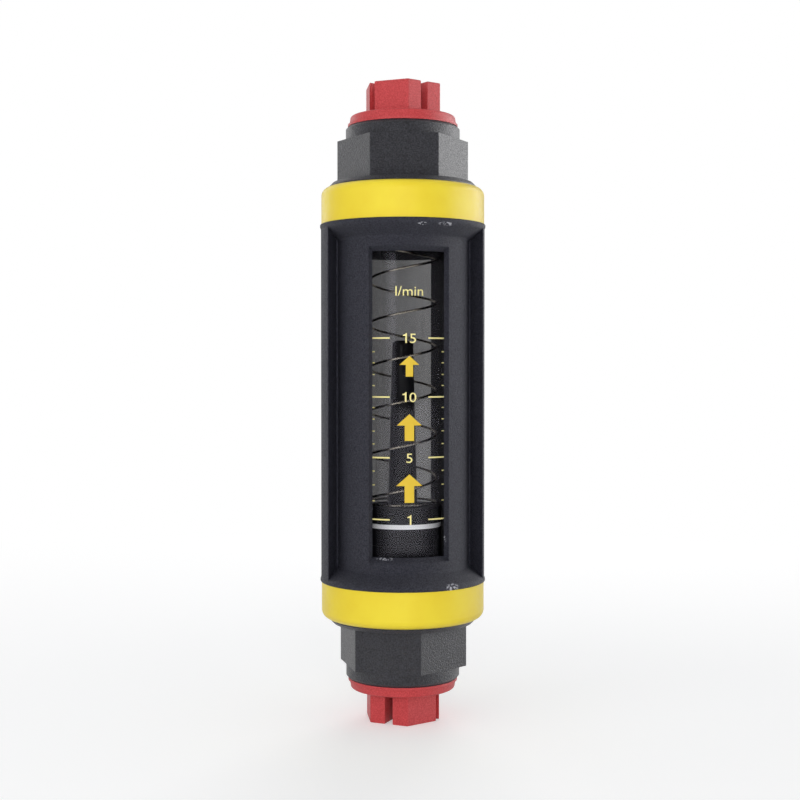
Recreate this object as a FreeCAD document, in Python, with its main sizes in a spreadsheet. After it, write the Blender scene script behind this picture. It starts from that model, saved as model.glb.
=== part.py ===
"""Spring-loaded flow indicator: a ring on a sprung piston shows the flow on a scale behind two windows.

The frame has +Z along the flow, Z = 0 at the end of the inlet's plug, and the front window on -Y.
"""
import FreeCAD, Part
import Sketcher
import os
import re

V = FreeCAD.Vector

# Driving dimensions in millimetres, each a plain number in the sheet.
SIZES = {
    # guard: the outer moulding, with its window, its side wings and a neck under each collar
    "guard_length": 103.2, "guard_radius": 24.0, "guard_bore": 17.2, "barrel_radius": 19.2,
    "neck_step": 3.3, "rim_width": 1.2, "cone_width": 3.4, "rim_round": 0.3, "rim_blend": 1.6,
    "cone_blend": 1.0, "window_angle": 72.2, "window_height": 85.7, "window_bevel": 1.35,
    "wing_web": 5.4, "wing_stem": 0.3, "wing_inset": 0.25, "tip_inset": 1.9,
    "tip_reach": 8.1,
    # colour collars
    "collar_length": 10.6, "collar_inset": 0.4, "collar_round": 2.4, "collar_play": 0.1,
    # end fittings
    "flange_lip": 2.25, "flange_height": 1.4, "flange_chamfer": 1.0, "hex_flats": 33.0,
    "hex_height": 12.2, "hex_round": 0.6, "boss_radius": 16.5, "boss_height": 4.0,
    "boss_chamfer": 0.8, "spigot_height": 12.2,
    "spigot_play": 0.1, "port_radius": 12.06, "port_depth": 16.0, "bore_radius": 8.5,
    "bore_length": 6.8, "outlet_turn": -4.8, "inlet_turn": -21.2,
    # metering tube and its seals
    "tube_radius": 13.5, "tube_bore": 11.3, "tube_play": 0.1, "seal_section": 1.6,
    "seal_groove": 2.0, "seal_squeeze": 0.03, "seal_inset": 1.6,
    # scale sleeve
    "sleeve_radius": 16.7, "sleeve_wall": 1.1, "sleeve_play": 0.2,
    # spring seat
    "seat_height": 2.0, "seat_spigot": 1.5, "insert_play": 0.1,
    # cone carrier, cone and nut
    "carrier_height": 14.3, "carrier_wall": 1.6, "hub_radius": 5.5, "hub_height": 8.0,
    "spoke_width": 2.4, "spoke_count": 3, "stem_radius": 2.5, "stem_play": 0.1,
    "cone_height": 58.9, "cone_base": 4.5, "cone_tip": 3.0, "cone_round": 1.2,
    "nut_flats": 8.0, "nut_height": 4.0, "stem_end": 1.0,
    # piston and what it carries
    "piston_length": 11.0, "piston_play": 0.08, "piston_lift": 0.05, "piston_bore": 8.4,
    "plate_radius": 9.3, "plate_height": 1.0, "plate_depth": 3.0, "plate_play": 0.05,
    "orifice_radius": 4.85, "orifice_edge": 0.3, "clip_height": 1.1, "clip_bore": 7.8,
    "clip_groove": 0.5, "clip_gap": 35.0, "ring_height": 1.35, "ring_depth": 1.0,
    "ring_level": 4.95, "ring_play": 0.02,
    # spring
    "wire_radius": 0.35, "spring_radius": 9.75, "spring_turns": 6.38, "end_turns": 1.0,
    "end_gap": 0.1, "spring_turn": 157.0, "spring_play": 0.05,
    # port plugs
    "head_flats": 20.2, "head_height": 9.0, "head_round": 0.6, "slot_width": 2.4,
    "slot_round": 0.7, "head_bevel": 0.3, "cap_radius": 15.5, "cap_height": 2.3, "cap_draft": 0.4,
    "cap_round": 0.6, "lip_radius": 15.9, "lip_height": 0.7,
    "shank_length": 12.0, "shank_play": 0.06, "shank_bore": 9.5, "shank_floor": 1.0,
    "shank_chamfer": 0.8, "outlet_plug_turn": 30.7, "inlet_plug_turn": -29.8,
}

# Lengths that several pieces share, worked out from the sheet.
PLUG_CAP = "(head_height + cap_height + lip_height)"
FITTING = "(boss_height + hex_height + flange_height)"
GUARD_START = "(" + PLUG_CAP + " + " + FITTING + " + collar_length)"
MIDDLE = "(" + GUARD_START + " + guard_length / 2)"
OVERALL = "(2 * " + MIDDLE + ")"
SEAT_FLOOR = "(port_depth + bore_length)"
TUBE_END = "(" + PLUG_CAP + " + " + SEAT_FLOOR + " + seat_height)"
SPIGOT_END = "(" + FITTING + " + spigot_height)"
CARRIER_TOP = "(" + TUBE_END + " + carrier_height)"
PISTON_START = "(" + CARRIER_TOP + " + piston_lift)"
PISTON_RADIUS = "(tube_bore - piston_play)"
SPRING_START = "(" + PISTON_START + " + piston_length + spring_play)"
SPRING_END = "(" + OVERALL + " - " + TUBE_END + " - seat_spigot - spring_play)"
INSERT_RADIUS = "(tube_bore - insert_play)"
NECK_RADIUS = "(guard_radius - neck_step)"
COLLAR_RADIUS = "(guard_radius - collar_inset)"
HEX_RADIUS = "(hex_flats / sqrt(3))"
FLANGE_RADIUS = "(" + HEX_RADIUS + " + flange_lip)"

doc = FreeCAD.newDocument("flow_indicator")
sheet = doc.addObject("Spreadsheet::Sheet", "Sizes")


def fill_sheet():
    """Write each driving dimension as a named cell."""
    for row, (name, size) in enumerate(SIZES.items(), start=1):
        sheet.set(f"A{row}", name)
        sheet.set(f"B{row}", str(size))
        sheet.setAlias(f"B{row}", name)
    doc.recompute()


def linked(text):
    """Turn size names in a formula into references to the sheet."""
    return re.sub(r"[a-z]\w*", lambda word: "Sizes." + word[0] if word[0] in SIZES else word[0], text)


def value(text):
    """Give the number that a formula has now."""
    return float(sheet.evalExpression(linked(text)))


def bind(thing, **formulas):
    """Tie properties to formulas; a double underscore in a name stands for a dot."""
    for name, formula in formulas.items():
        thing.setExpression(name.replace("__", "."), linked(formula))


def place(thing, height, turn="0", flipped=False):
    """Set a piece on the axis: its height, its turn, and which way up it is."""
    tilt = 180 if flipped else 0
    thing.Placement = FreeCAD.Placement(V(0, 0, value(height)), FreeCAD.Rotation(value(turn), 0, tilt))
    bind(thing, Placement__Base__z=height)
    if turn != "0":
        thing.setExpression("Placement.Rotation", f"rotation({linked(turn)}; 0; {tilt})")


def new_body(label):
    """Start a body whose label names its file."""
    body = doc.addObject("PartDesign::Body", label)
    body.Label = label
    return body


def base_plane(body, role):
    """Find one of the body's own origin planes."""
    return next(plane for plane in body.Origin.OriginFeatures if plane.Role == role)


def new_sketch(body, name, role):
    """Attach an empty sketch to one of the body's planes."""
    sketch = body.newObject("Sketcher::SketchObject", name)
    sketch.AttachmentSupport = (base_plane(body, role), [""])
    sketch.MapMode = "FlatFace"
    doc.recompute()
    return sketch


def pin_point(sketch, edge, across, up):
    """Hold an edge's start at its distances from the two axes."""
    if across == "0":
        sketch.addConstraint(Sketcher.Constraint("PointOnObject", edge, 1, -2))
    else:
        index = sketch.addConstraint(Sketcher.Constraint("DistanceX", -1, 1, edge, 1, value(across)))
        sketch.setExpression(f"Constraints[{index}]", linked(across))
    if up == "0":
        sketch.addConstraint(Sketcher.Constraint("PointOnObject", edge, 1, -1))
    else:
        index = sketch.addConstraint(Sketcher.Constraint("DistanceY", -1, 1, edge, 1, value(up)))
        sketch.setExpression(f"Constraints[{index}]", linked(up))


def profile(body, name, corners, role):
    """Draw a closed half-section: each corner is a radius and a height."""
    sketch = new_sketch(body, name, role)
    points = [V(value(across), value(up), 0) for across, up in corners]
    count = len(points)
    for index, start in enumerate(points):
        sketch.addGeometry(Part.LineSegment(start, points[(index + 1) % count]), False)
    for index in range(count):
        sketch.addConstraint(Sketcher.Constraint("Coincident", index, 2, (index + 1) % count, 1))
    for index, (across, up) in enumerate(corners):
        pin_point(sketch, index, across, up)
    return sketch


def revolve(body, name, corners, kind="PartDesign::Revolution", angle="360", role="XZ_Plane"):
    """Turn a half-section about the body's axis, as material or as a cut, half to each side."""
    sketch = profile(body, name + "_section", corners, role)
    feature = body.newObject(kind, name)
    feature.Profile = sketch
    feature.ReferenceAxis = (sketch, ["V_Axis"])
    if angle != "360":
        feature.Midplane = True
        bind(feature, Angle=angle)
    doc.recompute()
    return feature


def hexagon(body, name, flats, height, start="0"):
    """Add a six-sided prism, measured across its flats, with a flat facing -Y."""
    feature = body.newObject("PartDesign::AdditivePrism", name)
    feature.Polygon = 6
    feature.AttachmentSupport = (base_plane(body, "XY_Plane"), [""])
    feature.MapMode = "FlatFace"
    bind(feature, Circumradius=flats + " / sqrt(3)", Height=height, AttachmentOffset__Base__z=start)
    doc.recompute()
    return feature


def round_edges(body, base, name, size, chosen, kind="PartDesign::Fillet"):
    """Round or bevel the edges that a test picks."""
    names = [f"Edge{index}" for index, edge in enumerate(base.Shape.Edges, start=1) if chosen(edge)]
    feature = body.newObject(kind, name)
    feature.Base = (base, names)
    bind(feature, **{"Radius" if kind.endswith("Fillet") else "Size": size})
    doc.recompute()
    return feature


def circle_at(radius, height):
    """Make a test for full circles of one radius at one height."""
    def chosen(edge):
        curve = edge.Curve
        return (isinstance(curve, Part.Circle) and abs(curve.Radius - value(radius)) < 0.01
                and abs(curve.Center.z - value(height)) < 0.01)
    return chosen


def upright_at(radius, low, high):
    """Make a test for the upright edges of a prism with one corner radius."""
    def chosen(edge):
        box = edge.BoundBox
        reach = (box.Center.x ** 2 + box.Center.y ** 2) ** 0.5
        return (len(edge.Vertexes) == 2 and abs(box.ZMin - value(low)) < 0.01
                and abs(box.ZMax - value(high)) < 0.01 and abs(reach - value(radius)) < 0.01)
    return chosen


def any_of(tests):
    """Join several tests into one that takes what any of them takes."""
    return lambda edge: any(test(edge) for test in tests)


def repeat_about_axis(body, name, originals, count):
    """Repeat features evenly about the body's axis."""
    pattern = body.newObject("PartDesign::PolarPattern", name)
    pattern.Originals = originals
    pattern.Axis = (base_axis(body), [""])
    pattern.Angle = 360
    bind(pattern, Occurrences=count)
    body.Tip = pattern
    doc.recompute()
    return pattern


def base_axis(body):
    """Find the body's own Z axis."""
    return next(axis for axis in body.Origin.OriginFeatures if axis.Role == "Z_Axis")


def turned_ring(label, outer, inner, height, level):
    """Make a plain tube as one cylinder cut from another."""
    body = doc.addObject("Part::Cylinder", label + "_body")
    bind(body, Radius=outer, Height=height)
    hole = doc.addObject("Part::Cylinder", label + "_hole")
    bind(hole, Radius=inner, Height=height)
    ring = doc.addObject("Part::Cut", label)
    ring.Label = label
    ring.Base = body
    ring.Tool = hole
    place(ring, level)
    return ring


# The guard.

def wing_section(body):
    """Draw the +X wing's section: a web on the barrel that flares out to the round outer skin."""
    sketch = new_sketch(body, "wing_section", "XY_Plane")
    half_web = "wing_web / 2"
    outer = "(guard_radius - wing_inset)"
    corners = [("(guard_bore + barrel_radius) / 2", half_web), ("barrel_radius + wing_stem", half_web),
               ("guard_radius - tip_inset", "tip_reach")]
    root, foot, tip = [V(value(across), value(up), 0) for across, up in corners]
    radius = value(outer)
    rim = V((radius ** 2 - tip.y ** 2) ** 0.5, tip.y, 0)
    low_rim, low_tip, low_foot, low_root = [V(point.x, -point.y, 0) for point in (rim, tip, foot, root)]
    outline = [root, foot, tip, rim]
    mirrored = [low_rim, low_tip, low_foot, low_root]
    for first, second in zip(outline, outline[1:]):
        sketch.addGeometry(Part.LineSegment(first, second), False)
    arc = sketch.addGeometry(Part.Arc(low_rim, V(radius, 0, 0), rim), False)
    for first, second in zip(mirrored, mirrored[1:] + [root]):
        sketch.addGeometry(Part.LineSegment(first, second), False)
    for index in (0, 1, 4, 5, 6):
        sketch.addConstraint(Sketcher.Constraint("Coincident", index, 2, index + 1, 1))
    sketch.addConstraint(Sketcher.Constraint("Coincident", 7, 2, 0, 1))
    sketch.addConstraint(Sketcher.Constraint("Coincident", 2, 2, arc, 2))
    sketch.addConstraint(Sketcher.Constraint("Coincident", 4, 1, arc, 1))
    sketch.addConstraint(Sketcher.Constraint("Coincident", arc, 3, -1, 1))
    index = sketch.addConstraint(Sketcher.Constraint("Radius", arc, radius))
    sketch.setExpression(f"Constraints[{index}]", linked(outer))
    for edge, (across, up) in enumerate(corners):
        pin_point(sketch, edge, across, up)
    sketch.addConstraint(Sketcher.Constraint("Horizontal", 2))
    sketch.addConstraint(Sketcher.Constraint("Horizontal", 4))
    for high, low in (((0, 1), (7, 1)), ((1, 1), (6, 1)), ((2, 1), (5, 1))):
        sketch.addConstraint(Sketcher.Constraint("Symmetric", *high, *low, -1))
    return sketch


def make_guard():
    """The moulded guard: waisted barrel, coned end rims, two wings and two bevelled windows."""
    body = new_body("guard")
    half = "guard_length / 2"
    neck_end = "(" + half + " + collar_length)"
    cone_start = "(" + half + " - rim_width - cone_width)"
    cone_end = "(" + half + " - rim_width)"
    # The section is drawn from the lower neck's end, so that every height is positive.
    def level(height):
        return neck_end + " + " + height

    def below(height):
        return neck_end + " - " + height

    blank = revolve(body, "blank", [
        ("guard_bore", "0"), (NECK_RADIUS, "0"), (NECK_RADIUS, "collar_length"),
        ("guard_radius", "collar_length"), ("guard_radius", below(cone_end)),
        ("barrel_radius", below(cone_start)), ("barrel_radius", level(cone_start)),
        ("guard_radius", level(cone_end)), ("guard_radius", level(half)),
        (NECK_RADIUS, level(half)), (NECK_RADIUS, "2 * " + neck_end),
        ("guard_bore", "2 * " + neck_end)])
    for name, radius, height in (("rim_blend", "guard_radius", cone_end),
                                 ("cone_blend", "barrel_radius", cone_start),
                                 ("rim_round", "guard_radius", half)):
        ends = [circle_at(radius, below(height)), circle_at(radius, level(height))]
        blank = round_edges(body, blank, name + "s", name, any_of(ends))
    wing = body.newObject("PartDesign::Pad", "wing")
    wing.Profile = wing_section(body)
    bind(wing.Profile[0], AttachmentOffset__Base__z="collar_length + rim_width")
    bind(wing, Length="guard_length - 2 * rim_width")
    doc.recompute()
    wall = "(barrel_radius - guard_bore)"
    narrow = "(window_height / 2 - window_bevel)"
    wide = "(window_height / 2 + 2 * window_bevel)"
    window = revolve(body, "window", [
        ("guard_bore - " + wall, below(narrow)), ("barrel_radius + " + wall, below(wide)),
        ("barrel_radius + " + wall, level(wide)), ("guard_bore - " + wall, level(narrow))],
        "PartDesign::Groove", "window_angle", "YZ_Plane")
    repeat_about_axis(body, "both_sides", [wing, window], "2")
    place(body, GUARD_START + " - collar_length")


def make_collar(side, flipped):
    """A colour ring on the guard's neck, rounded at its outer end."""
    body = new_body(side + "_collar")
    ring = revolve(body, "ring", [
        (NECK_RADIUS + " + collar_play", "0"), (COLLAR_RADIUS, "0"),
        (COLLAR_RADIUS, "collar_length"), (NECK_RADIUS + " + collar_play", "collar_length")])
    round_edges(body, ring, "outer_round", "collar_round", circle_at(COLLAR_RADIUS, "collar_length"))
    level = OVERALL + " - " + GUARD_START if flipped else GUARD_START
    place(body, level, flipped=not flipped)


# The end fittings and their plugs, each drawn from its outer end inwards.

def make_fitting(side, flipped):
    """An end fitting: threaded port, hexagon, thin flange and the spigot that holds the tube."""
    body = new_body(side + "_fitting")
    hex_end = "(boss_height + hex_height)"
    core = "(boss_radius - boss_chamfer)"
    spigot = "(guard_bore - spigot_play)"
    revolve(body, "blank", [
        ("0", "0"), (core, "0"), ("boss_radius", "boss_chamfer"),
        ("boss_radius", "boss_height"), (core, "boss_height"), (core, hex_end),
        (FLANGE_RADIUS, hex_end), (FLANGE_RADIUS, FITTING),
        (spigot, FITTING), (spigot, SPIGOT_END), ("0", SPIGOT_END)])
    prism = hexagon(body, "hexagon", "hex_flats", "hex_height", "boss_height")
    prism = round_edges(body, prism, "hex_rounds", "hex_round",
                        upright_at(HEX_RADIUS, "boss_height", hex_end))
    round_edges(body, prism, "flange_bevel", "flange_chamfer", circle_at(FLANGE_RADIUS, hex_end),
                "PartDesign::Chamfer")
    groove_start = "(" + SPIGOT_END + " - seal_inset - seal_groove)"
    groove_end = "(" + SPIGOT_END + " - seal_inset)"
    holder = "(tube_radius + tube_play)"
    seal_floor = "(tube_radius + seal_squeeze + seal_section + seal_squeeze)"
    revolve(body, "bores", [
        ("0", "0"), ("port_radius", "0"), ("port_radius", "port_depth"),
        ("bore_radius", "port_depth"), ("bore_radius", SEAT_FLOOR), (holder, SEAT_FLOOR),
        (holder, groove_start), (seal_floor, groove_start), (seal_floor, groove_end),
        (holder, groove_end), (holder, SPIGOT_END), ("0", SPIGOT_END)], "PartDesign::Groove")
    level = OVERALL + " - " + PLUG_CAP if flipped else PLUG_CAP
    place(body, level, side + "_turn", flipped)


def slot_floor(edge):
    """Pick the edges where a slot's walls meet its floor."""
    box = edge.BoundBox
    wall = value("slot_width / 2")
    on_floor = box.ZLength < 0.01 and abs(box.ZMin - value("head_height")) < 0.01
    along_x = box.YLength < 0.01 and abs(abs(box.YMin) - wall) < 0.01
    along_y = box.XLength < 0.01 and abs(abs(box.XMin) - wall) < 0.01
    return on_floor and (along_x or along_y)


def head_end(edge):
    """Pick the edges around the head's outer end."""
    return edge.BoundBox.ZMax < 0.01


def make_plug(side, flipped):
    """A port plug: hexagonal head with crossed slots, cap with a thin lip, and a hollow shank."""
    body = new_body(side + "_plug")
    cap_end = "(head_height + cap_height)"
    shank = "(port_radius - shank_play)"
    end = "(" + PLUG_CAP + " + shank_length)"
    floor = "(head_height + shank_floor)"
    cap_edge = "(cap_radius - cap_draft)"
    cap = revolve(body, "cap", [
        ("0", "head_height"), (cap_edge, "head_height"), ("cap_radius", cap_end),
        ("lip_radius", cap_end), ("lip_radius", PLUG_CAP), (shank, PLUG_CAP),
        (shank, end + " - shank_chamfer"), (shank + " - shank_chamfer", end),
        ("shank_bore", end), ("shank_bore", floor), ("0", floor)])
    round_edges(body, cap, "cap_rounds", "cap_round", circle_at(cap_edge, "head_height"))
    head = hexagon(body, "head", "head_flats", "head_height")
    round_edges(body, head, "head_rounds", "head_round",
                upright_at("head_flats / sqrt(3)", "0", "head_height"))
    for name, across, along in (("slot", "2 * cap_radius", "slot_width"),
                                ("cross_slot", "slot_width", "2 * cap_radius")):
        slot = body.newObject("PartDesign::SubtractiveBox", name)
        slot.AttachmentSupport = (base_plane(body, "XY_Plane"), [""])
        slot.MapMode = "FlatFace"
        bind(slot, Length=across, Width=along, Height="head_height")
        bind(slot, AttachmentOffset__Base__x=f"-({across}) / 2", AttachmentOffset__Base__y=f"-({along}) / 2")
        doc.recompute()
    floors = round_edges(body, slot, "slot_rounds", "slot_round", slot_floor)
    round_edges(body, floors, "head_bevels", "head_bevel", head_end)
    place(body, OVERALL if flipped else "0", side + "_plug_turn", flipped)


# The transparent parts and their seals.

def make_tube_group():
    """The metering tube between the two seats, the scale sleeve around it, and the tube's seals."""
    turned_ring("metering_tube", "tube_radius", "tube_bore", OVERALL + " - 2 * " + TUBE_END, TUBE_END)
    sleeve_start = "(" + PLUG_CAP + " + " + SPIGOT_END + ")"
    turned_ring("scale_sleeve", "sleeve_radius", "sleeve_radius - sleeve_wall",
                OVERALL + " - 2 * " + sleeve_start + " - sleeve_play", sleeve_start)
    seal_level = "(" + sleeve_start + " - seal_inset - seal_groove / 2)"
    for side, level in (("inlet", seal_level), ("outlet", OVERALL + " - " + seal_level)):
        seal = doc.addObject("Part::Torus", side + "_tube_seal")
        seal.Label = side + "_tube_seal"
        bind(seal, Radius1="tube_radius + seal_squeeze + seal_section / 2", Radius2="seal_section / 2")
        place(seal, level)


def make_spring_seat():
    """The flanged ring that the spring pushes against, held between the tube and the fitting."""
    body = new_body("spring_seat")
    revolve(body, "ring", [
        ("bore_radius", "0"), (INSERT_RADIUS, "0"), (INSERT_RADIUS, "seat_spigot"),
        ("tube_radius", "seat_spigot"), ("tube_radius", "seat_spigot + seat_height"),
        ("bore_radius", "seat_spigot + seat_height")])
    place(body, OVERALL + " - " + TUBE_END + " - seat_spigot")


def make_carrier():
    """The spoked holder that stands in the tube's lower end, carries the cone and stops the piston."""
    body = new_body("cone_carrier")
    wall = "(" + INSERT_RADIUS + " - carrier_wall)"
    top = "(seat_height + carrier_height)"
    revolve(body, "ring", [
        (wall, "0"), ("tube_radius", "0"), ("tube_radius", "seat_height"),
        (INSERT_RADIUS, "seat_height"), (INSERT_RADIUS, top), (wall, top)])
    spoke = body.newObject("PartDesign::AdditiveBox", "spoke")
    spoke.AttachmentSupport = (base_plane(body, "XY_Plane"), [""])
    spoke.MapMode = "FlatFace"
    bind(spoke, Length=wall + " + carrier_wall / 2", Width="spoke_width", Height="hub_height",
         AttachmentOffset__Base__y="-spoke_width / 2", AttachmentOffset__Base__z=top + " - hub_height")
    doc.recompute()
    repeat_about_axis(body, "spokes", [spoke], "spoke_count")
    for kind, name, radius in (("Additive", "hub", "hub_radius"),
                               ("Subtractive", "hub_hole", "stem_radius + stem_play")):
        part = body.newObject(f"PartDesign::{kind}Cylinder", name)
        part.AttachmentSupport = (base_plane(body, "XY_Plane"), [""])
        part.MapMode = "FlatFace"
        bind(part, Radius=radius, Height="hub_height", AttachmentOffset__Base__z=top + " - hub_height")
        doc.recompute()
    place(body, TUBE_END + " - seat_height")


def make_cone():
    """The tapered metering cone on its stem, and the nut under the hub."""
    body = new_body("metering_cone")
    stem = "(stem_end + nut_height + hub_height)"
    top = "(" + stem + " + cone_height)"
    cone = revolve(body, "cone", [
        ("0", "0"), ("stem_radius", "0"), ("stem_radius", stem), ("cone_base", stem),
        ("cone_tip", top), ("0", top)])
    round_edges(body, cone, "tip_round", "cone_round", circle_at("cone_tip", top))
    place(body, CARRIER_TOP + " - " + stem)
    nut = new_body("cone_nut")
    hexagon(nut, "hexagon", "nut_flats", "nut_height")
    hole = nut.newObject("PartDesign::SubtractiveCylinder", "hole")
    hole.AttachmentSupport = (base_plane(nut, "XY_Plane"), [""])
    hole.MapMode = "FlatFace"
    bind(hole, Radius="stem_radius + stem_play / 2", Height="nut_height")
    doc.recompute()
    place(nut, CARRIER_TOP + " - hub_height - nut_height")


# The moving group: piston, ring, orifice plate and clip.

def make_piston():
    """The piston, with a groove for the white ring and a stepped bore for the plate and its clip."""
    body = new_body("piston")
    ring_floor = "(" + PISTON_RADIUS + " - ring_depth)"
    ring_end = "(ring_level + ring_height)"
    plate_wall = "(plate_radius + plate_play)"
    clip_start = "(plate_depth - plate_height - clip_height)"
    clip_end = "(plate_depth - plate_height)"
    clip_wall = "(" + plate_wall + " + clip_groove)"
    revolve(body, "piston_body", [
        (plate_wall, "0"), (PISTON_RADIUS, "0"), (PISTON_RADIUS, "ring_level"),
        (ring_floor, "ring_level"), (ring_floor, ring_end), (PISTON_RADIUS, ring_end),
        (PISTON_RADIUS, "piston_length"), ("piston_bore", "piston_length"),
        ("piston_bore", "plate_depth"), (plate_wall, "plate_depth"), (plate_wall, clip_end),
        (clip_wall, clip_end), (clip_wall, clip_start), (plate_wall, clip_start)])
    place(body, PISTON_START)
    ring = new_body("indicator_ring")
    revolve(ring, "ring", [
        (ring_floor + " + ring_play", "ring_play"), (PISTON_RADIUS, "ring_play"),
        (PISTON_RADIUS, "ring_height - ring_play"), (ring_floor + " + ring_play", "ring_height - ring_play")])
    place(ring, PISTON_START + " + ring_level")
    plate = new_body("orifice_plate")
    revolve(plate, "plate", [
        ("orifice_radius", "0"), ("plate_radius", "0"), ("plate_radius", "plate_height"),
        ("orifice_radius + plate_height - orifice_edge", "plate_height"), ("orifice_radius", "orifice_edge")])
    place(plate, PISTON_START + " + " + clip_end)
    clip = new_body("plate_clip")
    revolve(clip, "clip", [
        ("clip_bore", "ring_play"), (clip_wall + " - plate_play", "ring_play"),
        (clip_wall + " - plate_play", "clip_height"), ("clip_bore", "clip_height")],
        angle="360 - clip_gap")
    place(clip, PISTON_START + " + " + clip_start)


def coil(name, turns, pitch, level, turn):
    """Sweep one stretch of the spring's wire along a helix."""
    path = doc.addObject("Part::Helix", name + "_path")
    bind(path, Radius="spring_radius", Pitch=pitch, Height=f"({pitch}) * {turns}")
    section = doc.addObject("Part::Circle", name + "_section")
    section.Placement = FreeCAD.Placement(V(), FreeCAD.Rotation(V(1, 0, 0), 90))
    bind(section, Radius="wire_radius", Placement__Base__x="spring_radius")
    wire = doc.addObject("Part::Sweep", name)
    wire.Sections = [section]
    wire.Spine = (path, ["Edge1"])
    wire.Solid = True
    wire.Frenet = True
    place(wire, level, turn)
    return wire


def make_spring():
    """The compression spring: an open coil between a closed turn at each end."""
    end_pitch = "(2 * wire_radius + end_gap)"
    both_ends = "2 * wire_radius + 2 * " + end_pitch + " * end_turns"
    open_height = "(" + SPRING_END + " - " + SPRING_START + " - (" + both_ends + "))"
    first = SPRING_START + " + wire_radius"
    second = first + " + " + end_pitch + " * end_turns"
    third = second + " + " + open_height
    coils = [
        coil("lower_end", "end_turns", end_pitch, first, "spring_turn - 360 * end_turns"),
        coil("open_coil", "spring_turns", open_height + " / spring_turns", second, "spring_turn"),
        coil("upper_end", "end_turns", end_pitch, third, "spring_turn + 360 * spring_turns"),
    ]
    spring = coils[0]
    for name, part in zip(("sprung", "spring"), coils[1:]):
        joined = doc.addObject("Part::Fuse", name)
        joined.Base = spring
        joined.Tool = part
        spring = joined
    spring.Label = "spring"


NODES = [
    "guard", "inlet_collar", "outlet_collar", "inlet_fitting", "outlet_fitting", "inlet_plug", "outlet_plug",
    "metering_tube", "scale_sleeve", "inlet_tube_seal", "outlet_tube_seal", "spring_seat", "cone_carrier",
    "metering_cone", "cone_nut", "piston", "indicator_ring", "orifice_plate", "plate_clip", "spring",
]


def write_parts():
    """Check every object and every shape, then write one file a piece."""
    for thing in doc.Objects:
        if "Invalid" in thing.State or "Error" in thing.State:
            raise RuntimeError(f"{thing.Label} did not build: {thing.State}")
    pieces = [doc.getObject(name) for name in NODES]
    for piece in pieces:
        if piece.Shape.isNull() or not piece.Shape.isValid() or not piece.Shape.Solids:
            raise RuntimeError(f"{piece.Label} has no valid shape")
    os.makedirs("parts", exist_ok=True)
    for piece in pieces:
        piece.Shape.exportStep(f"parts/{piece.Label}.step")
        box = piece.Shape.BoundBox
        print(f"{piece.Label:18s} {len(piece.Shape.Solids)} {piece.Shape.Volume:10.1f}"
              f"  z {box.ZMin:7.2f} {box.ZMax:7.2f}  x {box.XMin:7.2f} {box.XMax:7.2f}")


def main():
    """Build the whole indicator."""
    fill_sheet()
    make_guard()
    for side, flipped in (("inlet", False), ("outlet", True)):
        make_collar(side, flipped)
        make_fitting(side, flipped)
        make_plug(side, flipped)
    make_tube_group()
    make_spring_seat()
    make_carrier()
    make_cone()
    make_piston()
    make_spring()
    doc.recompute()
    write_parts()


main()
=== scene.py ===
"""Looks of the spring-loaded flow indicator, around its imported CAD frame. Lengths are in metres."""
import bpy
import bmesh
import math
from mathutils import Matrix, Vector


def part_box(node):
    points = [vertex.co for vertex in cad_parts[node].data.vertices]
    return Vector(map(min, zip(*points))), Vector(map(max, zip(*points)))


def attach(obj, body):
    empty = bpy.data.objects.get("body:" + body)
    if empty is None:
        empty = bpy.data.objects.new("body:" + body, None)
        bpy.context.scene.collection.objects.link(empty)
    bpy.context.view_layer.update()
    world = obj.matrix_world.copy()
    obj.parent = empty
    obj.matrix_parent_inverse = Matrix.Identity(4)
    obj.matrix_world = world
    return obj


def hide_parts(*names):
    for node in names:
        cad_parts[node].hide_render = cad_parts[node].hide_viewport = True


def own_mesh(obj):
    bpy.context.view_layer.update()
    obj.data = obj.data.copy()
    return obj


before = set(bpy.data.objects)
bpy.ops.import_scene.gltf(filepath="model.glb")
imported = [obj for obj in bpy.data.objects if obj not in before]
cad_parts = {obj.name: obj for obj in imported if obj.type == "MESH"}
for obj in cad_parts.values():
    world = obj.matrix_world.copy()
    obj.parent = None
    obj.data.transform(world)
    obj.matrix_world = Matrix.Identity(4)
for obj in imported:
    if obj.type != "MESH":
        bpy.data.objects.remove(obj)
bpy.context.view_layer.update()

MM = 0.001
HOUSING = "housing"

# The print on the sleeve.
INK_HEIGHT = 0.02 * MM
PRINT_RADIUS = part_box("scale_sleeve")[1].x + INK_HEIGHT
STRIP_WIDTH = 0.4 * MM           # flat print is cut into strips this wide before it is bent
SCALE_HALF_ANGLE = 39.3          # degrees from the window's middle, where all ticks end
LONG_TICK_ANGLE = 19.0           # degrees from the window's middle, where the numbered ticks start
SHORT_TICK_ANGLE = 34.6          # and where the others start
LONG_TICK = 0.40 * MM            # thickness of a numbered tick
SHORT_TICK = 0.28 * MM
NUMBER_HEIGHT, NUMBER_STRETCH = 2.75 * MM, 1.18
UNIT_HEIGHT, UNIT_STRETCH, UNIT_LEVEL = 2.8 * MM, 1.1, 123.6 * MM
LETTER_GAP = 0.30                # between a number's digits, as a share of their height
CAPITAL_SHARE = 0.73             # height of a digit in the built-in font, as a share of its size
# Heights of the marks for 1 to 15 litres a minute, in millimetres. They close up as the flow grows.
MARK_LEVELS = (59.5, 64.7, 69.2, 73.1, 76.9, 80.7, 84.3, 87.7, 90.9, 93.9, 97.1, 100.2, 103.5, 106.6, 110.4)
# Level, width, height, head and shaft of each flow arrow, in millimetres.
ARROWS = ((68.3, 7.5, 8.0, 3.3, 2.7), (85.4, 7.1, 7.5, 3.2, 2.65), (102.5, 5.6, 5.8, 2.5, 2.05))
# The digit 1 on a height of one: its stem and its flag.
DIGIT_ONE = (((0.25, 0), (0.42, 0), (0.42, 1), (0.31, 1), (0.25, 0.90)),
             ((0, 0.70), (0.25, 0.70), (0.25, 0.90), (0, 0.80)))

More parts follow.
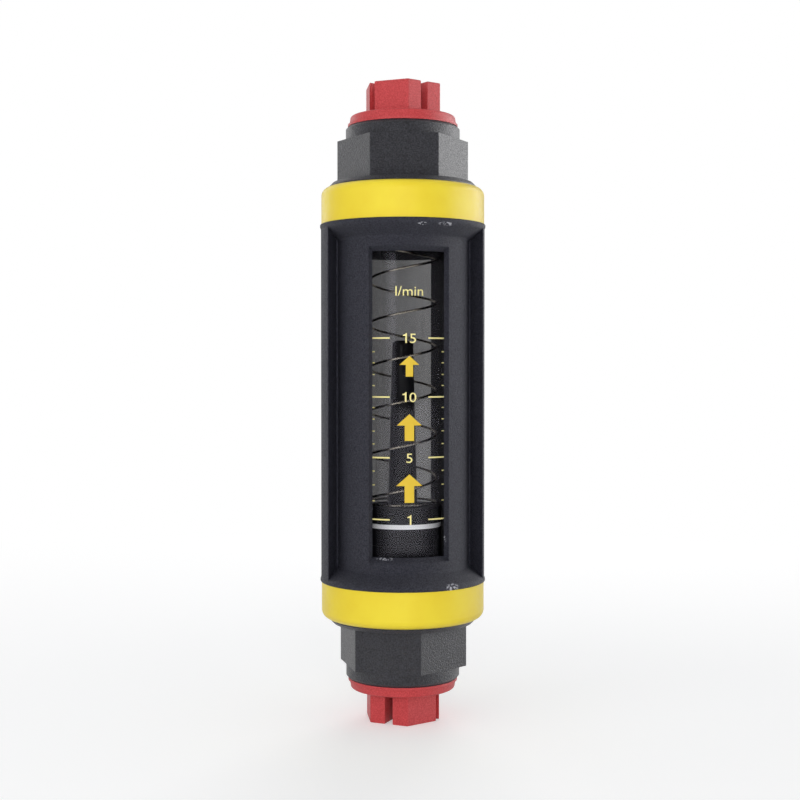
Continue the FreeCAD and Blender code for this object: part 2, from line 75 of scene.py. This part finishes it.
# The spring, as in the source.
WIRE_RADIUS = 0.35 * MM
COIL_START = math.radians(157.0)
OPEN_TURNS = 6.38
CLOSED_PITCH = 2.15 * WIRE_RADIUS
STEPS_A_TURN = 48
WIRE_SIDES = 10

# The studio.
AIM_LEVEL = 0.09                 # height that the lamps are aimed at


# Materials.

def new_material(name):
    """An empty node material and its shader."""
    material = bpy.data.materials.new(name)
    material.use_nodes = True
    tree = material.node_tree
    shader = tree.nodes["Principled BSDF"]
    return material, tree, shader


def node(tree, kind, operation=None):
    """Add a node, with its operation if it has one."""
    made = tree.nodes.new(kind)
    if operation:
        made.operation = operation
    return made


def noise(tree, scale, detail=3.0):
    """A noise texture in the object's own metres."""
    where = node(tree, "ShaderNodeTexCoord")
    texture = node(tree, "ShaderNodeTexNoise")
    texture.inputs["Scale"].default_value = scale
    texture.inputs["Detail"].default_value = detail
    texture.inputs["Roughness"].default_value = 0.55
    tree.links.new(where.outputs["Object"], texture.inputs["Vector"])
    return texture


def ramp(tree, source, low, high, start=0.35, end=0.65):
    """Map a texture between two colours or two grey values."""
    made = node(tree, "ShaderNodeValToRGB")
    made.color_ramp.elements[0].position = start
    made.color_ramp.elements[1].position = end
    made.color_ramp.elements[0].color = (*low, 1) if isinstance(low, tuple) else (low, low, low, 1)
    made.color_ramp.elements[1].color = (*high, 1) if isinstance(high, tuple) else (high, high, high, 1)
    tree.links.new(source, made.inputs["Fac"])
    return made.outputs["Color"]


def map_range(tree, source, low, high, to_low, to_high):
    """Map a number from one range to another, and hold it at the ends."""
    made = node(tree, "ShaderNodeMapRange")
    for name, setting in (("From Min", low), ("From Max", high), ("To Min", to_low), ("To Max", to_high)):
        made.inputs[name].default_value = setting
    tree.links.new(source, made.inputs["Value"])
    return made.outputs["Result"]


def combine(tree, operation, first, second):
    """Join two numbers by a sum, a product or the larger one. The second may be a constant."""
    made = node(tree, "ShaderNodeMath", operation=operation)
    tree.links.new(first, made.inputs[0])
    if isinstance(second, (int, float)):
        made.inputs[1].default_value = second
    else:
        tree.links.new(second, made.inputs[1])
    return made.outputs[0]


def add_bump(tree, shader, height, depth):
    """Raise the surface by a texture, to a depth in metres."""
    bump = node(tree, "ShaderNodeBump")
    bump.inputs["Strength"].default_value = 1.0
    bump.inputs["Distance"].default_value = depth
    tree.links.new(height, bump.inputs["Height"])
    tree.links.new(bump.outputs["Normal"], shader.inputs["Normal"])


def plastic(name, dark, light, rough, grain, depth, specular=0.5, mottle=60.0):
    """Moulded plastic: fine grain, slightly uneven colour and gloss."""
    material, tree, shader = new_material(name)
    fine = noise(tree, grain)
    broad = noise(tree, mottle, 4.0)
    tree.links.new(ramp(tree, broad.outputs["Fac"], dark, light), shader.inputs["Base Color"])
    tree.links.new(ramp(tree, fine.outputs["Fac"], rough - 0.06, rough + 0.08), shader.inputs["Roughness"])
    shader.inputs["Specular IOR Level"].default_value = specular
    add_bump(tree, shader, fine.outputs["Fac"], depth)
    return material


def add_scuffs(material, marks):
    """Pale scuffs and painted highlights in a plastic's colour, each within a centre and half sizes in
    metres.
    """
    tree = material.node_tree
    colour = tree.nodes["Principled BSDF"].inputs["Base Color"]
    where = node(tree, "ShaderNodeTexCoord")
    specks = ramp(tree, noise(tree, 1500, 2.0).outputs["Fac"], 0.0, 1.0, 0.50, 0.56)
    for centre, half_sizes in marks:
        offset = node(tree, "ShaderNodeVectorMath", operation="SUBTRACT")
        tree.links.new(where.outputs["Object"], offset.inputs[0])
        offset.inputs[1].default_value = centre
        scaled = node(tree, "ShaderNodeVectorMath", operation="DIVIDE")
        tree.links.new(offset.outputs["Vector"], scaled.inputs[0])
        scaled.inputs[1].default_value = half_sizes
        reach = node(tree, "ShaderNodeVectorMath", operation="LENGTH")
        tree.links.new(scaled.outputs["Vector"], reach.inputs[0])
        inside = map_range(tree, reach.outputs["Value"], 0.7, 1.1, 0.9, 0.0)
        mix = node(tree, "ShaderNodeMixRGB")
        mix.inputs["Color2"].default_value = (0.55, 0.55, 0.60, 1)
        tree.links.new(combine(tree, "MULTIPLY", inside, specks), mix.inputs["Fac"])
        tree.links.new(colour.links[0].from_socket, mix.inputs["Color1"])
        tree.links.new(mix.outputs["Color"], colour)


def metal(name, colour, rough):
    """Bare metal with fine drawn marks."""
    material, tree, shader = new_material(name)
    fine = noise(tree, 4000.0)
    shader.inputs["Metallic"].default_value = 1.0
    shade = tuple(0.8 * part for part in colour)
    tree.links.new(ramp(tree, fine.outputs["Fac"], shade, colour), shader.inputs["Base Color"])
    tree.links.new(ramp(tree, fine.outputs["Fac"], rough - 0.05, rough + 0.1), shader.inputs["Roughness"])
    add_bump(tree, shader, fine.outputs["Fac"], 0.004 * MM)
    return material


def clear(name, colour, front, rear_left, rear_right):
    """Clear plastic: its front mirrors, and its far side is denser, rougher and a darker grey.

    The three numbers are the opacity of the front and of the far side at its left and right. The far side
    is made denser at its left than at its right: painted shade, as the light falls from the rear right.
    """
    material, tree, shader = new_material(name)
    where = node(tree, "ShaderNodeTexCoord")
    split = node(tree, "ShaderNodeSeparateXYZ")
    tree.links.new(where.outputs["Object"], split.inputs["Vector"])
    far = map_range(tree, split.outputs["Y"], -0.002, 0.004, 0.0, 1.0)
    # painted shade: the far side grows denser towards its left, so it is darker at the left than at the
    # right
    painted_side_shade = map_range(tree, split.outputs["X"], -0.010, 0.010, rear_left - front, rear_right - front)
    stretch = node(tree, "ShaderNodeVectorMath", operation="MULTIPLY")
    tree.links.new(where.outputs["Object"], stretch.inputs[0])
    stretch.inputs[1].default_value = (1.0, 1.0, 0.04)
    streaks = noise(tree, 500.0, 2.0)
    tree.links.new(stretch.outputs["Vector"], streaks.inputs["Vector"])
    uneven = map_range(tree, streaks.outputs["Fac"], 0.3, 0.7, 0.94, 1.04)
    dense = combine(tree, "MULTIPLY", combine(tree, "MULTIPLY", painted_side_shade, far), uneven)
    tree.links.new(combine(tree, "ADD", dense, front), shader.inputs["Alpha"])
    tree.links.new(map_range(tree, far, 0.0, 1.0, 0.03, 0.5), shader.inputs["Roughness"])
    tree.links.new(map_range(tree, far, 0.0, 1.0, 1.0, 0.0), shader.inputs["Metallic"])
    far_grey = tuple(0.3 * part for part in colour)
    tree.links.new(ramp(tree, far, colour, far_grey, 0.0, 1.0), shader.inputs["Base Color"])
    return material


MATERIALS = {
    "guard": plastic("guard_plastic", dark=(0.010, 0.0105, 0.018), light=(0.040, 0.0405, 0.055),
                     rough=0.72, grain=2400, depth=0.34 * MM, specular=0.45, mottle=2500.0),
    "fitting": plastic("fitting_plastic", dark=(0.004, 0.004, 0.006), light=(0.034, 0.034, 0.044),
                       rough=0.44, grain=2200, depth=0.24 * MM, specular=0.6, mottle=2400.0),
    "collar": plastic("collar_plastic", dark=(0.83, 0.62, 0.026), light=(0.88, 0.70, 0.038),
                      rough=0.40, grain=900, depth=0.006 * MM, specular=0.35),
    "plug": plastic("plug_plastic", dark=(0.45, 0.031, 0.034), light=(0.60, 0.062, 0.068),
                    rough=0.50, grain=2300, depth=0.08 * MM, mottle=2600.0),
    "inner": plastic("inner_plastic", dark=(0.003, 0.003, 0.004), light=(0.007, 0.007, 0.009),
                     rough=0.36, grain=1500, depth=0.003 * MM, specular=0.3),
    "ring": plastic("ring_plastic", dark=(0.90, 0.90, 0.94), light=(0.95, 0.95, 0.97),
                    rough=0.35, grain=900, depth=0.006 * MM),
    "rubber": plastic("seal_rubber", dark=(0.010, 0.010, 0.010), light=(0.018, 0.018, 0.018),
                      rough=0.62, grain=1500, depth=0.01 * MM),
    "arrows": plastic("arrow_print", dark=(0.74, 0.50, 0.028), light=(0.80, 0.56, 0.042),
                      rough=0.55, grain=1500, depth=0.004 * MM),
    "print": plastic("scale_print", dark=(0.88, 0.78, 0.30), light=(0.94, 0.84, 0.36),
                     rough=0.55, grain=1500, depth=0.004 * MM),
    "steel": metal("turned_steel", (0.62, 0.62, 0.64), rough=0.32),
    "wire": metal("spring_wire", (0.52, 0.47, 0.40), rough=0.22),
    # the far sides are denser at the left than at the right: painted shade
    "sleeve": clear("clear_sleeve", (0.49, 0.48, 0.56), front=0.015, rear_left=0.66, rear_right=0.55),
    "tube": clear("clear_tube", (0.49, 0.48, 0.56), front=0.015, rear_left=0.28, rear_right=0.20),
}
# Centre and half sizes of each pale mark on the guard: scuffs, two under the upper collar, one at the lower
# rim and one at the window's lower right corner, and at its lower left corner a scuff widened into a
# painted highlight along the lit bottom edge of the window's bevel.
SCUFFS_AND_PAINTED_HIGHLIGHT = (
    ((0.0028, -0.0228, 0.1417), (0.0015, 0.002, 0.0004)),
    ((0.0095, -0.0209, 0.1418), (0.0024, 0.003, 0.0005)),
    ((0.0115, -0.0205, 0.0409), (0.0022, 0.003, 0.0012)),
    # a scuff widened into a painted highlight along the lit bottom edge of the window's bevel
    ((-0.0083, -0.0182, 0.0487), (0.0042, 0.003, 0.0006)),
    ((0.0098, -0.0151, 0.0535), (0.0009, 0.003, 0.0014)),
)
add_scuffs(MATERIALS["guard"], SCUFFS_AND_PAINTED_HIGHLIGHT)
NODE_MATERIALS = {
    "guard": "guard", "inlet_collar": "collar", "outlet_collar": "collar",
    "inlet_fitting": "fitting", "outlet_fitting": "fitting", "inlet_plug": "plug", "outlet_plug": "plug",
    "metering_tube": "tube", "scale_sleeve": "sleeve",
    "inlet_tube_seal": "rubber", "outlet_tube_seal": "rubber",
    "spring_seat": "inner", "cone_carrier": "inner", "metering_cone": "inner", "cone_nut": "steel",
    "piston": "inner", "indicator_ring": "ring", "orifice_plate": "steel", "plate_clip": "steel",
}


def dress_nodes():
    """Give every CAD node that shows its own material."""
    for name, kind in NODE_MATERIALS.items():
        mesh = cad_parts[name].data
        mesh.materials.clear()
        mesh.materials.append(MATERIALS[kind])


# Pieces.

def new_piece(name, mesh, kind, body):
    """Put a mesh in the scene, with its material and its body."""
    piece = bpy.data.objects.new(name, mesh)
    bpy.context.scene.collection.objects.link(piece)
    mesh.materials.append(MATERIALS[kind])
    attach(piece, body)
    return piece


def mesh_from(name, points, faces, smooth=True):
    """Make a mesh from points and faces."""
    mesh = bpy.data.meshes.new(name)
    mesh.from_pydata([tuple(point) for point in points], [], faces)
    mesh.update()
    for face in mesh.polygons:
        face.use_smooth = smooth
    return mesh


def tube_along(name, centres, radius, sides):
    """A round wire along a list of points, closed at both ends."""
    points, faces = [], []
    count = len(centres)
    for index, centre in enumerate(centres):
        ahead = centres[min(index + 1, count - 1)] - centres[max(index - 1, 0)]
        along = ahead.normalized()
        outward = Vector((centre.x, centre.y, 0)).normalized()
        across = along.cross(outward).normalized()
        outward = across.cross(along)
        for side in range(sides):
            turn = 2 * math.pi * side / sides
            points.append(centre + radius * (math.cos(turn) * outward + math.sin(turn) * across))
    for index in range(count - 1):
        for side in range(sides):
            after = (side + 1) % sides
            base, top = index * sides, (index + 1) * sides
            faces.append((base + side, base + after, top + after, top + side))
    faces.append(tuple(reversed(range(sides))))
    faces.append(tuple((count - 1) * sides + side for side in range(sides)))
    return mesh_from(name, points, faces)


def make_spring():
    """The spring: open turns between a closed turn at each end."""
    low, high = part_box("spring")
    radius = high.x - WIRE_RADIUS
    bottom, top = low.z + WIRE_RADIUS + CLOSED_PITCH, high.z - WIRE_RADIUS - CLOSED_PITCH
    centres = []
    for step in range(-STEPS_A_TURN, round((OPEN_TURNS + 1) * STEPS_A_TURN) + 1):
        turn = step / STEPS_A_TURN
        if turn < 0:
            level = bottom + turn * CLOSED_PITCH
        elif turn > OPEN_TURNS:
            level = top + (turn - OPEN_TURNS) * CLOSED_PITCH
        else:
            level = bottom + turn / OPEN_TURNS * (top - bottom)
        angle = COIL_START + 2 * math.pi * turn
        centres.append(Vector((radius * math.cos(angle), radius * math.sin(angle), level)))
    coil = tube_along("spring_coil", centres, WIRE_RADIUS, WIRE_SIDES)
    piece = new_piece("spring_coil", coil, "wire", HOUSING)
    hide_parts("spring")
    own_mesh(piece)


# The printed scale.

def print_shape(outlines, level, points, faces):
    """Add flat polygons to the print, cut into narrow strips so that they follow the sleeve."""
    for outline in outlines:
        shape = bmesh.new()
        corners = [shape.verts.new((across, up, 0)) for across, up in outline]
        shape.faces.new(corners)
        cut_into_strips(shape)
        add_bent(shape, level, points, faces)
        shape.free()


def cut_into_strips(shape):
    """Cut flat faces along upright lines, a strip's width apart."""
    spread = [vertex.co.x for vertex in shape.verts]
    first, last = math.ceil(min(spread) / STRIP_WIDTH), math.floor(max(spread) / STRIP_WIDTH)
    for line in range(first, last + 1):
        parts = shape.verts[:] + shape.edges[:] + shape.faces[:]
        bmesh.ops.bisect_plane(shape, geom=parts, plane_co=(line * STRIP_WIDTH, 0, 0), plane_no=(1, 0, 0),
                               dist=1e-7)


def add_bent(shape, level, points, faces):
    """Bend a flat shape round the sleeve and add it to the lists.

    Zero across is the window's middle, and zero upwards comes to the level given.
    """
    base = len(points)
    shape.verts.index_update()
    for vertex in shape.verts:
        angle = vertex.co.x / PRINT_RADIUS
        points.append(Vector((PRINT_RADIUS * math.sin(angle), -PRINT_RADIUS * math.cos(angle),
                              level + vertex.co.y)))
    for face in shape.faces:
        faces.append(tuple(base + vertex.index for vertex in face.verts))


def flat_letters(words, height, stretch):
    """Flat lettering that starts at zero across: a digit or the unit."""
    shape = bmesh.new()
    if words == "1":
        for outline in DIGIT_ONE:
            shape.faces.new([shape.verts.new((across * height, up * height, 0)) for across, up in outline])
        return shape
    curve = bpy.data.curves.new("lettering", "FONT")
    curve.body = words
    curve.size = height / CAPITAL_SHARE
    holder = bpy.data.objects.new("lettering", curve)
    bpy.context.scene.collection.objects.link(holder)
    flat = bpy.data.meshes.new_from_object(holder.evaluated_get(bpy.context.evaluated_depsgraph_get()))
    shape.from_mesh(flat)
    bpy.data.objects.remove(holder)
    bpy.data.curves.remove(curve)
    bpy.data.meshes.remove(flat)
    start = min(vertex.co.x for vertex in shape.verts)
    for vertex in shape.verts:
        vertex.co.x = (vertex.co.x - start) * stretch
    return shape


def add_text(groups, height, stretch, level, points, faces):
    """Add generic lettering, a number or the unit, centred on the window and spaced evenly."""
    gap = LETTER_GAP * height
    shapes = [flat_letters(words, height, stretch) for words in groups]
    widths = [max(vertex.co.x for vertex in shape.verts) for shape in shapes]
    start = -(sum(widths) + gap * (len(shapes) - 1)) / 2
    for shape, width in zip(shapes, widths):
        bmesh.ops.translate(shape, verts=shape.verts, vec=(start, 0, 0))
        cut_into_strips(shape)
        add_bent(shape, level - height / 2, points, faces)
        shape.free()
        start += width + gap


def tick(start, end, thickness):
    """The two ticks of one mark, left and right, as flat outlines."""
    inner, outer = [math.radians(angle) * PRINT_RADIUS for angle in (start, end)]
    half = thickness / 2
    return [[(side * inner, -half), (side * outer, -half), (side * outer, half), (side * inner, half)]
            for side in (-1, 1)]


def arrow(width, height, head, shaft):
    """An arrow that points along the flow, centred on its level."""
    half, low, high = width / 2, -height / 2, height / 2
    neck = high - head
    return [[(-half, neck), (half, neck), (0, high)],
            [(-shaft / 2, low), (shaft / 2, low), (shaft / 2, neck), (-shaft / 2, neck)]]


def make_print():
    """Ticks, numbers, unit and flow arrows on the sleeve, in yellow ink."""
    points, faces = [], []
    for flow, mark in enumerate(MARK_LEVELS, 1):
        level = mark * MM
        if flow == 1 or flow % 5 == 0:
            print_shape(tick(LONG_TICK_ANGLE, SCALE_HALF_ANGLE, LONG_TICK), level, points, faces)
            add_text(str(flow), NUMBER_HEIGHT, NUMBER_STRETCH, level, points, faces)
        else:
            print_shape(tick(SHORT_TICK_ANGLE, SCALE_HALF_ANGLE, SHORT_TICK), level, points, faces)
    add_text(["l/min"], UNIT_HEIGHT, UNIT_STRETCH, UNIT_LEVEL, points, faces)
    new_piece("scale_print", mesh_from("scale_print", points, faces), "print", HOUSING)
    points, faces = [], []
    for level, *lengths in ARROWS:
        print_shape(arrow(*[length * MM for length in lengths]), level * MM, points, faces)
    new_piece("flow_arrows", mesh_from("flow_arrows", points, faces), "arrows", HOUSING)


# The studio.

def aim(thing, target):
    """Turn a camera or lamp towards a point."""
    thing.rotation_euler = (Vector(target) - thing.location).to_track_quat("-Z", "Y").to_euler()


def make_camera():
    """The camera, at the photograph's angle: a little to the left of the window and nearly level."""
    azimuth = math.radians(-6.3)
    distance = 400 * MM
    side_step = -0.8 * MM
    camera_level, target_level = 102.0 * MM, 92.7 * MM
    right = Vector((math.cos(azimuth), math.sin(azimuth), 0))
    back = Vector((math.sin(azimuth), -math.cos(azimuth), 0))
    data = bpy.data.cameras.new("camera")
    data.lens = 61.8
    data.sensor_width = 36.0
    data.clip_start = 0.01
    data.clip_end = 20.0
    camera = bpy.data.objects.new("camera", data)
    bpy.context.scene.collection.objects.link(camera)
    target = side_step * right + Vector((0, 0, target_level))
    camera.location = side_step * right + distance * back + Vector((0, 0, camera_level))
    aim(camera, target)
    bpy.context.scene.camera = camera


def add_lamp(name, azimuth, elevation, distance, size, strength, mirrored, lights=True):
    """A soft rectangular lamp, placed by its angles in degrees from the object's front, and aimed at it.

    The strength is the lamp's radiance if the surfaces mirror it, and otherwise the light it
    gives to a white face that is turned to it. A lamp that doesn't light is only mirrored.
    """
    turn, rise = math.radians(azimuth), math.radians(elevation)
    data = bpy.data.lights.new(name, "AREA")
    data.shape = "RECTANGLE"
    data.size, data.size_y = size
    data.energy = math.pi * strength * (size[0] * size[1] if mirrored else math.pi * distance ** 2)
    lamp = bpy.data.objects.new(name, data)
    across = distance * math.cos(rise)
    level = AIM_LEVEL + distance * math.sin(rise)
    lamp.location = (across * math.sin(turn), -across * math.cos(turn), level)
    lamp.visible_glossy = mirrored
    lamp.visible_diffuse = lights
    bpy.context.scene.collection.objects.link(lamp)
    aim(lamp, (0, 0, AIM_LEVEL))


def mix_by_ray(tree, rays, lit, shown):
    """Show one surface to the named kinds of ray and another to the rest."""
    path = node(tree, "ShaderNodeLightPath")
    seen = path.outputs[rays[0]]
    for ray in rays[1:]:
        seen = combine(tree, "MAXIMUM", seen, path.outputs[ray])
    mix = node(tree, "ShaderNodeMixShader")
    tree.links.new(seen, mix.inputs["Fac"])
    tree.links.new(lit, mix.inputs[1])
    tree.links.new(shown, mix.inputs[2])
    return mix.outputs["Shader"]


def background(tree, strength, colour=(1, 1, 1)):
    """A plain background for the world."""
    made = node(tree, "ShaderNodeBackground")
    made.inputs["Color"].default_value = (*colour, 1)
    made.inputs["Strength"].default_value = strength
    return made


def make_world():
    """A white surround that lights the object softly. What mirrors it sees it dark in front, bright
    at the sides and dimmer again straight behind.
    """
    world = bpy.data.worlds.new("studio")
    world.use_nodes = True
    tree = world.node_tree
    tree.nodes.clear()
    where = node(tree, "ShaderNodeTexCoord")
    split = node(tree, "ShaderNodeSeparateXYZ")
    tree.links.new(where.outputs["Generated"], split.inputs["Vector"])
    sides = map_range(tree, split.outputs["Y"], -0.75, 0.5, 0.05, 1.0)
    rear = map_range(tree, split.outputs["Y"], 0.80, 0.95, 1.0, 0.3)
    mirrored = background(tree, 1.0)
    tree.links.new(combine(tree, "MULTIPLY", sides, rear), mirrored.inputs["Strength"])
    lit = background(tree, 0.46, (0.97, 0.98, 1.0))
    white = background(tree, 1.0)
    surface = mix_by_ray(tree, ["Is Glossy Ray"], lit.outputs[0], mirrored.outputs[0])
    surface = mix_by_ray(tree, ["Is Camera Ray", "Is Transmission Ray"], surface, white.outputs[0])
    output = node(tree, "ShaderNodeOutputWorld")
    tree.links.new(surface, output.inputs["Surface"])
    bpy.context.scene.world = world


def make_floor():
    """A plain pale floor that keeps a soft shadow and fades to white away from the object."""
    half = 3.0
    mesh = mesh_from("floor", [(-half, -half, 0), (half, -half, 0), (half, half, 0), (-half, half, 0)],
                     [(0, 1, 2, 3)], smooth=False)
    floor = bpy.data.objects.new("floor", mesh)
    bpy.context.scene.collection.objects.link(floor)
    material, tree, shader = new_material("floor")
    shader.inputs["Base Color"].default_value = (0.80, 0.80, 0.80, 1)
    shader.inputs["Roughness"].default_value = 0.9
    shader.inputs["Specular IOR Level"].default_value = 0.0
    glow = node(tree, "ShaderNodeEmission")
    glow.inputs["Strength"].default_value = 0.35
    together = node(tree, "ShaderNodeAddShader")
    tree.links.new(shader.outputs["BSDF"], together.inputs[0])
    tree.links.new(glow.outputs["Emission"], together.inputs[1])
    where = node(tree, "ShaderNodeTexCoord")
    reach = node(tree, "ShaderNodeVectorMath", operation="LENGTH")
    tree.links.new(where.outputs["Object"], reach.inputs[0])
    white = node(tree, "ShaderNodeEmission")
    fade = node(tree, "ShaderNodeMixShader")
    tree.links.new(map_range(tree, reach.outputs["Value"], 0.12, 0.45, 0.0, 1.0), fade.inputs["Fac"])
    tree.links.new(together.outputs["Shader"], fade.inputs[1])
    tree.links.new(white.outputs["Emission"], fade.inputs[2])
    rays = ["Is Camera Ray", "Is Glossy Ray", "Is Transmission Ray"]
    surface = mix_by_ray(tree, rays, shader.outputs["BSDF"], fade.outputs["Shader"])
    tree.links.new(surface, tree.nodes["Material Output"].inputs["Surface"])
    mesh.materials.append(material)


def make_studio():
    """Camera, lamps, surround and floor."""
    make_camera()
    add_lamp("front", -4, 6, 0.9, (0.4, 0.4), 0.42, mirrored=False)
    add_lamp("left_side", -60, 20, 0.8, (0.5, 0.5), 0.12, mirrored=False)
    add_lamp("rear", 165, 25, 0.9, (0.5, 0.5), 0.34, mirrored=False)
    add_lamp("left_front", -31, 16, 0.8, (0.28, 0.5), 1.0, mirrored=True)
    add_lamp("right_panel", 100, 0, 0.55, (0.7, 0.8), 3.4, mirrored=True, lights=False)
    add_lamp("left_panel", -148, 0, 0.55, (0.25, 0.8), 1.6, mirrored=True, lights=False)
    make_world()
    make_floor()
    bpy.context.scene.view_settings.view_transform = "Standard"


make_studio()
dress_nodes()
make_spring()
make_print()
